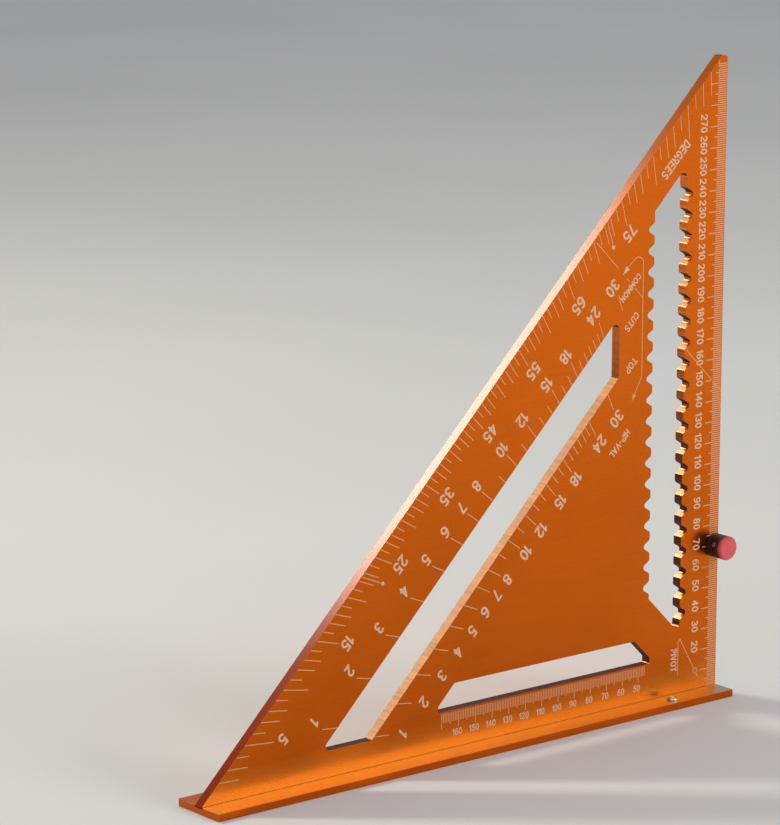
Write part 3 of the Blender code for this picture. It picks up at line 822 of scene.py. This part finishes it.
def build_plates():
    """The blade and the fence, each with its corners rubbed pale, a paleness that is also a
    painted arris highlight.
    """
    # the face, with a painted reflection of the flange at its foot
    face = orange_metal("orange_face", ORANGE, 1.0, 0.25, 0.03, foot=FOOT_PAINTED_REFLECTION)
    # outer edges: painted dark as painted shade, paler towards the tip as painted light, with a
    # thinner clear layer there
    edge = milled_wall("orange_edge", EDGE_ORANGE, 0.05, 0.24, 0.20, 0.20,
                       chatter=0.02, shine=0.0, upper=TIP_PAINTED_LIGHT_ORANGE, change=TIP_PAINTED_LIGHT_HEIGHTS,
                       upper_coat=0.06)
    # slot walls painted darker and notch walls paler, floors and roofs dark, as painted light and
    # shade
    slot_wall = milled_wall("orange_slot_wall", SLOT_ORANGE, 0.17, 0.34, 0.125, 0.28,
                            chatter=0.08, shine=0.0)
    notch = milled_wall("orange_notch_wall", NOTCH_ORANGE, 0.25, 0.3, 0.22, 0.24,
                        chatter=0.1, shine=0.0)
    shaded = milled_wall("orange_painted_shade_floor_and_roof", SHADED_ORANGE, 0.0, 0.6, 0.02, 0.3, shine=0.15)
    # upright walls: painted dark as painted shade, and paler higher up as painted light
    upright = milled_wall("orange_upright_wall", DEEP_ORANGE, 0.9, 0.34, 0.2, 0.3,
                          upper=PALE_ORANGE, change=UPRIGHT_PAINTED_LIGHT_HEIGHTS)
    # flange top painted light; the fence's other faces a darker copy of the face colour as painted
    # shade
    flange = orange_metal("orange_flange", FLANGE_PAINTED_LIGHT_ORANGE, 0.95, 0.28, 1.0)
    side = orange_metal("orange_side", tinted(ORANGE, 0.9), 1.0, 0.3, 0.03)
    rim = worn_edge("orange_worn_and_highlit_edge")
    eased("blade", "blade_eased", PLATE_EASE, [face, edge, slot_wall, notch, shaded, upright, rim],
          "root", blade_finish)
    eased("fence", "fence_eased", PLATE_EASE, [flange, side, rim], "root",
          fence_finish, in_groove)


def build_rivet(steel):
    """A shallow dome that sits down on the flange."""
    centre = (RIVET_LOW + RIVET_HIGH) / 2.0
    radius = (RIVET_HIGH.x - RIVET_LOW.x) / 2.0
    base = FENCE_HIGH.z
    dome = RIVET_HIGH.z - base
    rim = 0.12 * dome
    profile = [(0.0, RIVET_LOW.z), (radius / 2.0, RIVET_LOW.z), (radius / 2.0, base),
               (radius * 0.98, base), (radius, base + rim)]
    for step in range(1, 10):
        angle = math.radians(10.0 * step)
        profile.append((radius * math.cos(angle), base + rim + (dome - rim) * math.sin(angle)))
    profile[-1] = (0.0, RIVET_HIGH.z)
    place = Matrix.Translation((centre.x, centre.y, 0.0))
    piece = turned_piece("rivet_dome", profile, 48, place, [steel], "root")
    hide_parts("flange_rivet")


def build_cap(red):
    """Straight-knurled rim, a chamfer, and a face turned slightly hollow."""
    radius = (CAP_HIGH.x - CAP_LOW.x) / 2.0
    bore = (STUD_HIGH.x - STUD_LOW.x) / 2.0
    thick = CAP_HIGH.y - CAP_LOW.y
    bore_depth = 1.3 * MM
    chamfer = 0.35 * MM
    bevel = 0.75 * MM
    hollow = 0.15 * MM
    profile = [(0.0, bore_depth), (bore, bore_depth), (bore, 0.0), (radius - chamfer, 0.0),
               (radius, chamfer), (radius, thick - bevel),
               (radius - 0.25 * MM, thick - 0.5 * MM), (radius - bevel, thick),
               (radius - 1.2 * MM, thick), (0.0, thick - hollow)]
    place = Matrix.Translation((STOP_AXIS.x, CAP_HIGH.y, STOP_AXIS.z))
    place = place @ Matrix.Rotation(math.radians(90.0), 4, "X")

    def knurl(side, row):
        return 0.18 * MM if row in (4, 5) and side % 4 in (0, 3) else 0.0

    piece = turned_piece("cap_knurled", profile, 192, place, [red], "thumb_screw",
                         knurl)
    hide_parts("thumb_cap")


def build_stud(steel):
    """M4 stud with a right-hand thread and a plain nose."""
    radius = (STUD_HIGH.x - STUD_LOW.x) / 2.0
    length = STUD_HIGH.y - STUD_LOW.y
    pitch = 0.7 * MM
    depth = 0.38 * MM
    sides = 36
    rows_per_turn = 12
    nose = 0.6 * MM
    nose_radius = 1.2 * MM
    profile = [(0.0, 0.0), (nose_radius, 0.0), (nose_radius, nose)]
    row = nose
    while row < length - 0.02 * MM:
        profile.append((radius, row))
        row += pitch / rows_per_turn
    profile += [(radius - depth, length), (0.0, length)]

    def thread(side, row):
        if row < 3 or row > len(profile) - 3:
            return 0.0
        turn = (profile[row][1] / pitch - side / sides) % 1.0
        return depth * (1.0 - abs(2.0 * turn - 1.0))

    place = Matrix.Translation((STOP_AXIS.x, STUD_HIGH.y, STOP_AXIS.z))
    place = place @ Matrix.Rotation(math.radians(90.0), 4, "X")
    piece = turned_piece("stud_threaded", profile, sides, place, [steel], "thumb_screw",
                         thread)
    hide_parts("clamp_stud")


def build_small_parts():
    """The edge stop's parts, and the screws, dowels and rivet."""
    steel = bright_steel("steel")
    dull = bright_steel("dull_steel", 0.6)
    black = black_metal("black_turned")
    red = red_metal("red_turned", (1.0, 0.12, 0.125))
    pad = nylon("nylon")
    eased("stop_body", "stop_body_eased", BARREL_EASE, [black, black], "edge_stop")
    for name in sorted(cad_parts):
        if name.startswith("fence_screw"):
            eased(name, name + "_eased", SCREW_EASE, [steel, steel], "root")
    eased("stop_grub_screw", "grub_screw_eased", SMALL_EASE, [dull, steel], "edge_stop")
    eased("clamp_pad", "clamp_pad_eased", SMALL_EASE, [pad, pad], "swivel_pad")
    for name in ("fence_dowel_1", "fence_dowel_2"):
        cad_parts[name].data.materials.clear()
        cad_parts[name].data.materials.append(steel)
    build_rivet(steel)
    build_cap(red)
    build_stud(steel)


def build_lettering():
    """Scales on both faces, with the words and their lines on the front only."""
    ticks = etched_mark("etched_ticks", (0.95, 0.42, 0.18))
    figures = etched_mark("etched_figures", (1.0, 0.63, 0.40))
    build_marks(ticks, figures)
    build_marks(ticks, figures, back=True)
    words = Marks()
    legends(words)
    words.done("front_legends", figures)
    lines = Marks()
    leaders(lines)
    lines.done("front_leaders", ticks)


bpy.context.scene.view_settings.view_transform = "Standard"
build_camera()
build_floor()
build_lights()
build_plates()
build_small_parts()
build_lettering()
